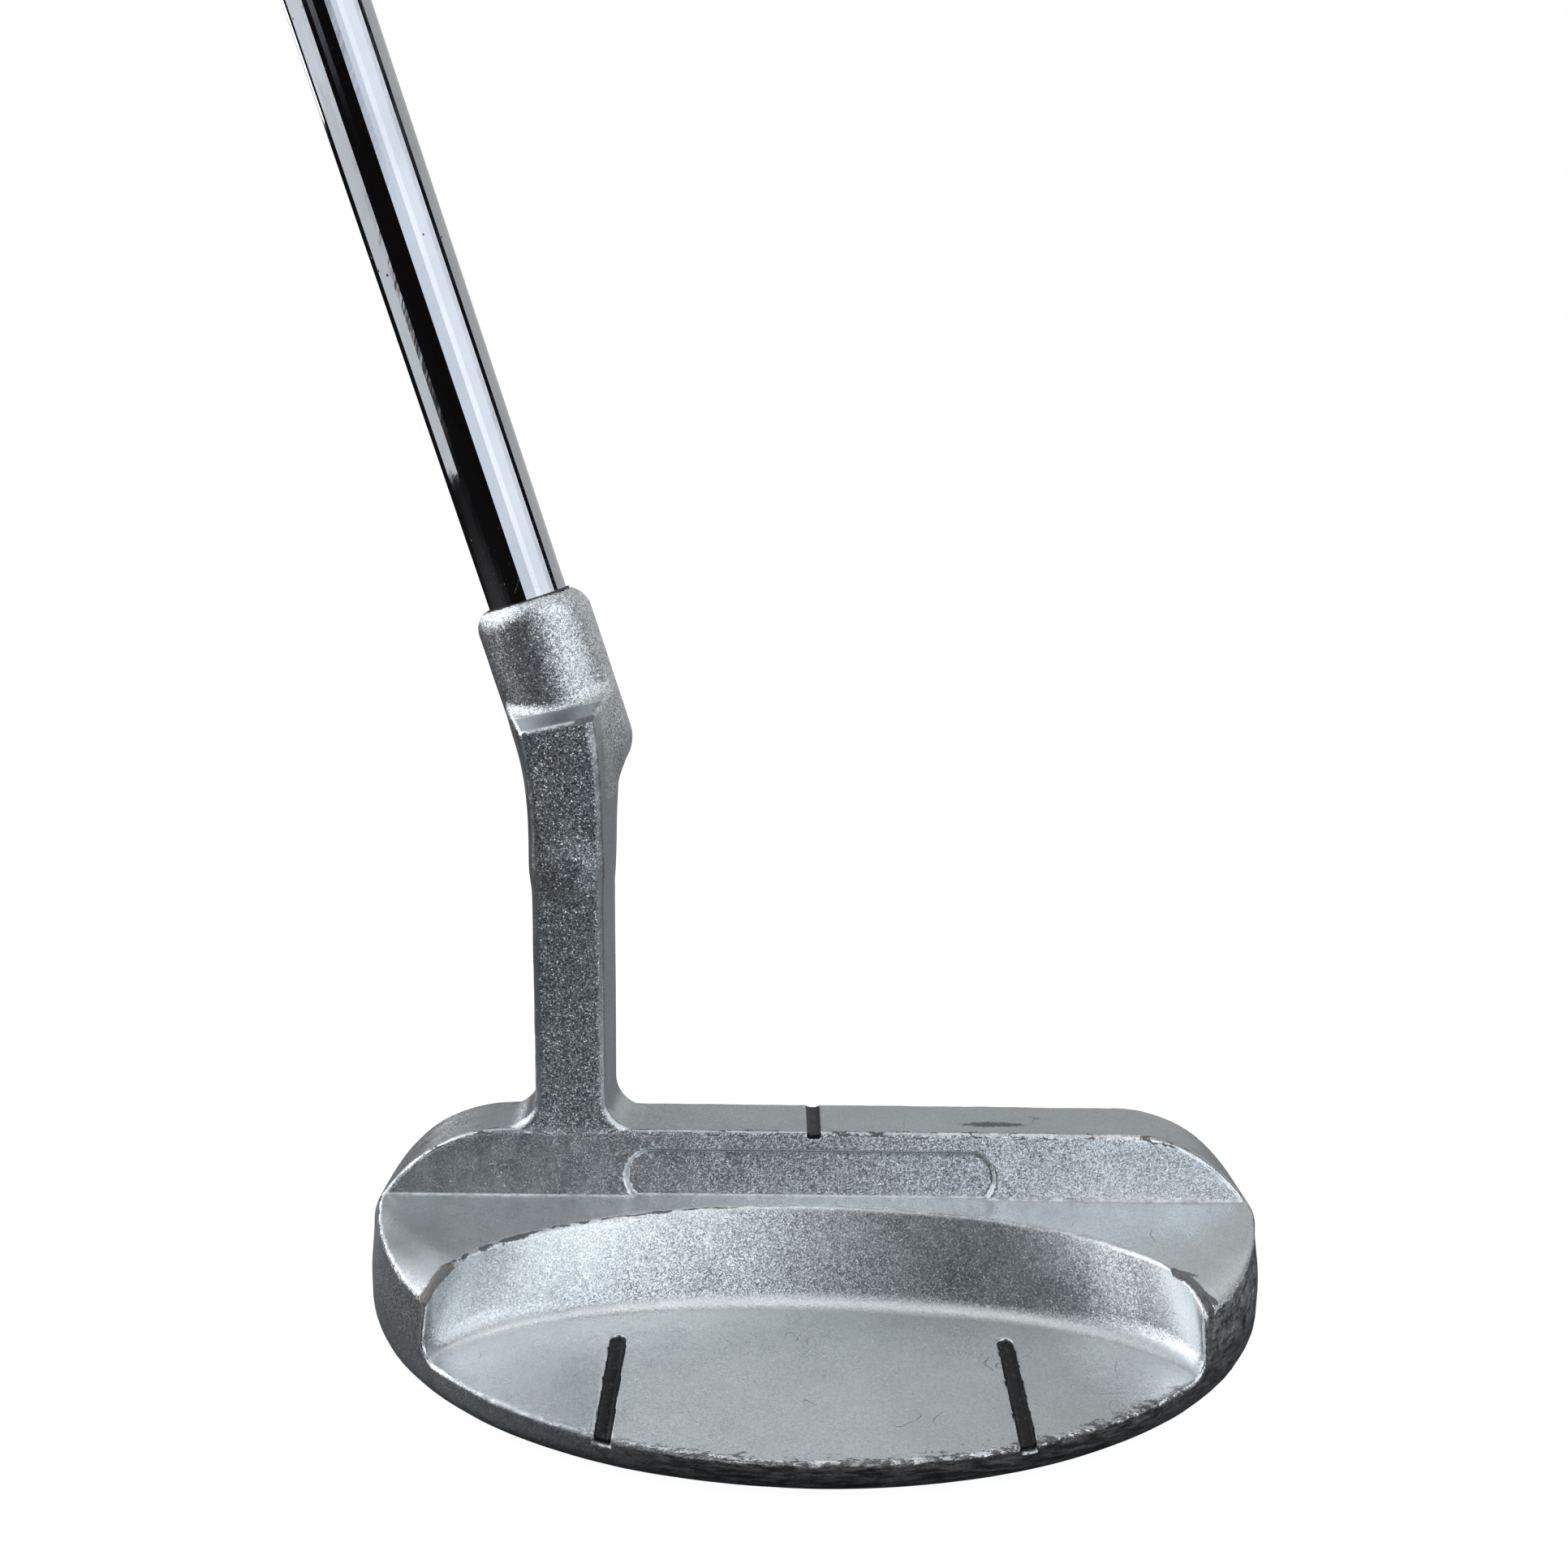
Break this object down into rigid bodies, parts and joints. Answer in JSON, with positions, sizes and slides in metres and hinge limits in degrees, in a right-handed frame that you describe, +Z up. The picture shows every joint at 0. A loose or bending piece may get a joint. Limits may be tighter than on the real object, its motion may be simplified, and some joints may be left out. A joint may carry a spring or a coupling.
{
  "type": "putter",
  "caption": "Right-handed mallet putter: D-shaped silver-painted cast head with a rear cavity and sight lines, offset cast neck, chromed steel shaft and rubber pistol grip",
  "frame": {"origin": "in the middle of the flat of the sole", "axes": "+X from heel to toe, +Y towards the target (the striking face looks along +Y), +Z up, along the club's height"},
  "size_m": [0.3424, 0.0629, 0.8369],
  "materials": {
    "silver_paint": "sprayed silver metallic paint over a zinc casting, worn on the rim",
    "black_enamel": "black enamel paint fill",
    "chrome": "chrome plate, lightly scratched",
    "cured_epoxy": "cured epoxy",
    "plug_plastic": "moulded",
    "grip_tape": "double-sided paper tape",
    "grip_rubber": "moulded rubber, matte",
    "cap_rubber": "moulded rubber, satin"
  },
  "bodies": {
    "root": {"head_casting": "silver_paint", "heel_sight_paint": "black_enamel", "toe_sight_paint": "black_enamel", "topline_sight_paint": "black_enamel", "shaft": "chrome", "hosel_epoxy": "cured_epoxy", "shaft_tip_plug": "plug_plastic", "grip_tape": "grip_tape", "grip_sleeve": "grip_rubber", "grip_cap": "cap_rubber"}
  },
  "joints": []
}
